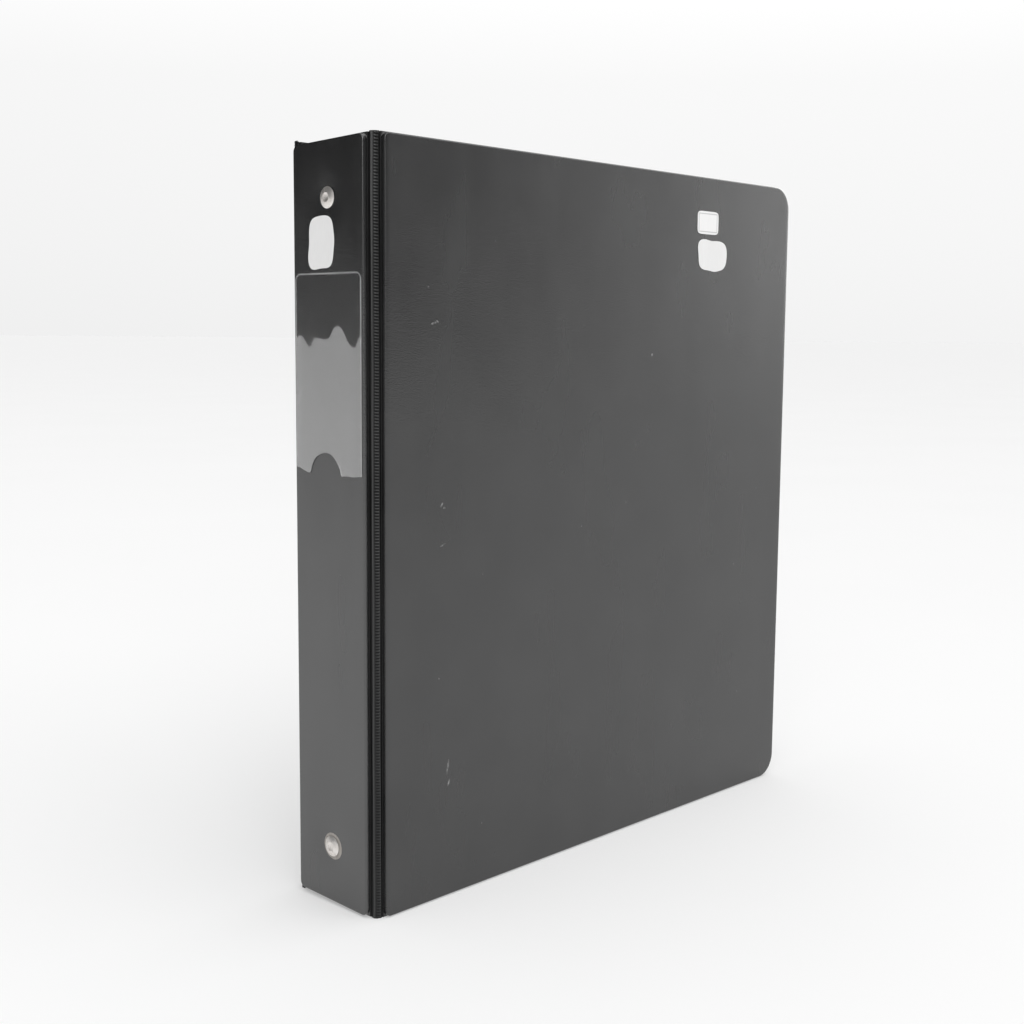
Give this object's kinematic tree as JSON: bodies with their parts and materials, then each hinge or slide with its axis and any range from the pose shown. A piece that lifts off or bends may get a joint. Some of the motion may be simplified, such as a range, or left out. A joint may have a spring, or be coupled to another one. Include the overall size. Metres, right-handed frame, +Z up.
{
  "type": "ring binder",
  "caption": "Vinyl-covered ring binder with welded folding hinges, a clear spine pocket and a riveted lever-operated ring mechanism that opens and closes.",
  "frame": {"origin": "middle of the footprint, on the surface the closed binder stands on", "axes": "+Z up along the spine; +X from the spine to the fore edges; -Y is the front cover, +Y the back cover"},
  "size_m": [0.2668, 0.0511, 0.292],
  "materials": {
    "outer_vinyl": "fine-grained matte black vinyl",
    "inner_vinyl": "smooth satin black vinyl",
    "hinge_vinyl": "black vinyl with a fine welded ladder pattern",
    "pocket_vinyl": "smooth satin black vinyl",
    "clear_film": "clear glossy film",
    "greyboard": "grey pulp board",
    "label_paper": "blank white paper",
    "rail_nickel": "bright nickel plate",
    "rivet_nickel": "bright nickel plate",
    "ring_nickel": "bright nickel plate",
    "steel_parts": "nickel-plated spring steel"
  },
  "bodies": {
    "spine": {"spine_board": "greyboard", "spine_outer_vinyl": "outer_vinyl", "spine_inner_vinyl": "inner_vinyl", "spine_label_pocket": "clear_film", "spine_label": "label_paper", "rail": "rail_nickel", "top_rivet": "rivet_nickel", "bottom_rivet": "rivet_nickel", "top_trigger_pin": "steel_parts", "bottom_trigger_pin": "steel_parts"},
    "front_hinge": {"front_hinge_outer_vinyl": "hinge_vinyl", "front_hinge_inner_vinyl": "inner_vinyl"},
    "front_cover": {"front_board": "greyboard", "front_outer_vinyl": "outer_vinyl", "front_inner_vinyl": "inner_vinyl", "front_inner_pocket": "pocket_vinyl", "price_label": "label_paper", "cover_label": "label_paper"},
    "back_hinge": {"back_hinge_outer_vinyl": "hinge_vinyl", "back_hinge_inner_vinyl": "inner_vinyl"},
    "back_cover": {"back_board": "greyboard", "back_outer_vinyl": "outer_vinyl", "back_inner_vinyl": "inner_vinyl", "back_inner_pocket": "pocket_vinyl"},
    "front_leaf": {"front_blade": "steel_parts", "front_bottom_half_ring": "ring_nickel", "front_middle_half_ring": "ring_nickel", "front_top_half_ring": "ring_nickel"},
    "back_leaf": {"back_blade": "steel_parts", "back_bottom_half_ring": "ring_nickel", "back_middle_half_ring": "ring_nickel", "back_top_half_ring": "ring_nickel"},
    "top_trigger": {"top_trigger": "steel_parts"},
    "bottom_trigger": {"bottom_trigger": "steel_parts"}
  },
  "joints": [
    {"name": "front_cover_fold_at_spine", "type": "hinge", "parent": "spine", "child": "front_hinge", "pos_m": [-0.13, -0.0205, 0.146], "axis": [0, 0, -1], "range_deg": [0, 90]},
    {"name": "front_cover_fold_at_cover", "type": "hinge", "parent": "front_hinge", "child": "front_cover", "pos_m": [-0.1272, -0.023, 0.146], "axis": [0, 0, -1], "range_deg": [0, 90]},
    {"name": "back_cover_fold_at_spine", "type": "hinge", "parent": "spine", "child": "back_hinge", "pos_m": [-0.13, 0.0205, 0.146], "axis": [0, 0, 1], "range_deg": [0, 90]},
    {"name": "back_cover_fold_at_cover", "type": "hinge", "parent": "back_hinge", "child": "back_cover", "pos_m": [-0.1272, 0.023, 0.146], "axis": [0, 0, 1], "range_deg": [0, 90]},
    {"name": "rings_open", "type": "hinge", "parent": "spine", "child": "front_leaf", "pos_m": [-0.1268, -0.00905, 0.1466], "axis": [0, 0, -1], "range_deg": [0, 18]},
    {"name": "back_rings_open", "type": "hinge", "parent": "spine", "child": "back_leaf", "pos_m": [-0.1268, 0.00905, 0.1466], "axis": [0, 0, 1], "range_deg": [0, 18]},
    {"name": "top_trigger_press", "type": "hinge", "parent": "spine", "child": "top_trigger", "pos_m": [-0.1264, 0, 0.2787], "axis": [0, -1, 0], "range_deg": [0, 22]},
    {"name": "bottom_trigger_press", "type": "hinge", "parent": "spine", "child": "bottom_trigger", "pos_m": [-0.1264, 0, 0.0145], "axis": [0, 1, 0], "range_deg": [0, 22]}
  ],
  "couplings": [
    {"joint": "front_cover_fold_at_spine", "follows": "front_cover_fold_at_cover", "ratio": 1},
    {"joint": "back_cover_fold_at_spine", "follows": "back_cover_fold_at_cover", "ratio": 1},
    {"joint": "back_rings_open", "follows": "rings_open", "ratio": 1},
    {"joint": "top_trigger_press", "follows": "rings_open", "ratio": 1.2222},
    {"joint": "bottom_trigger_press", "follows": "rings_open", "ratio": 1.2222}
  ]
}
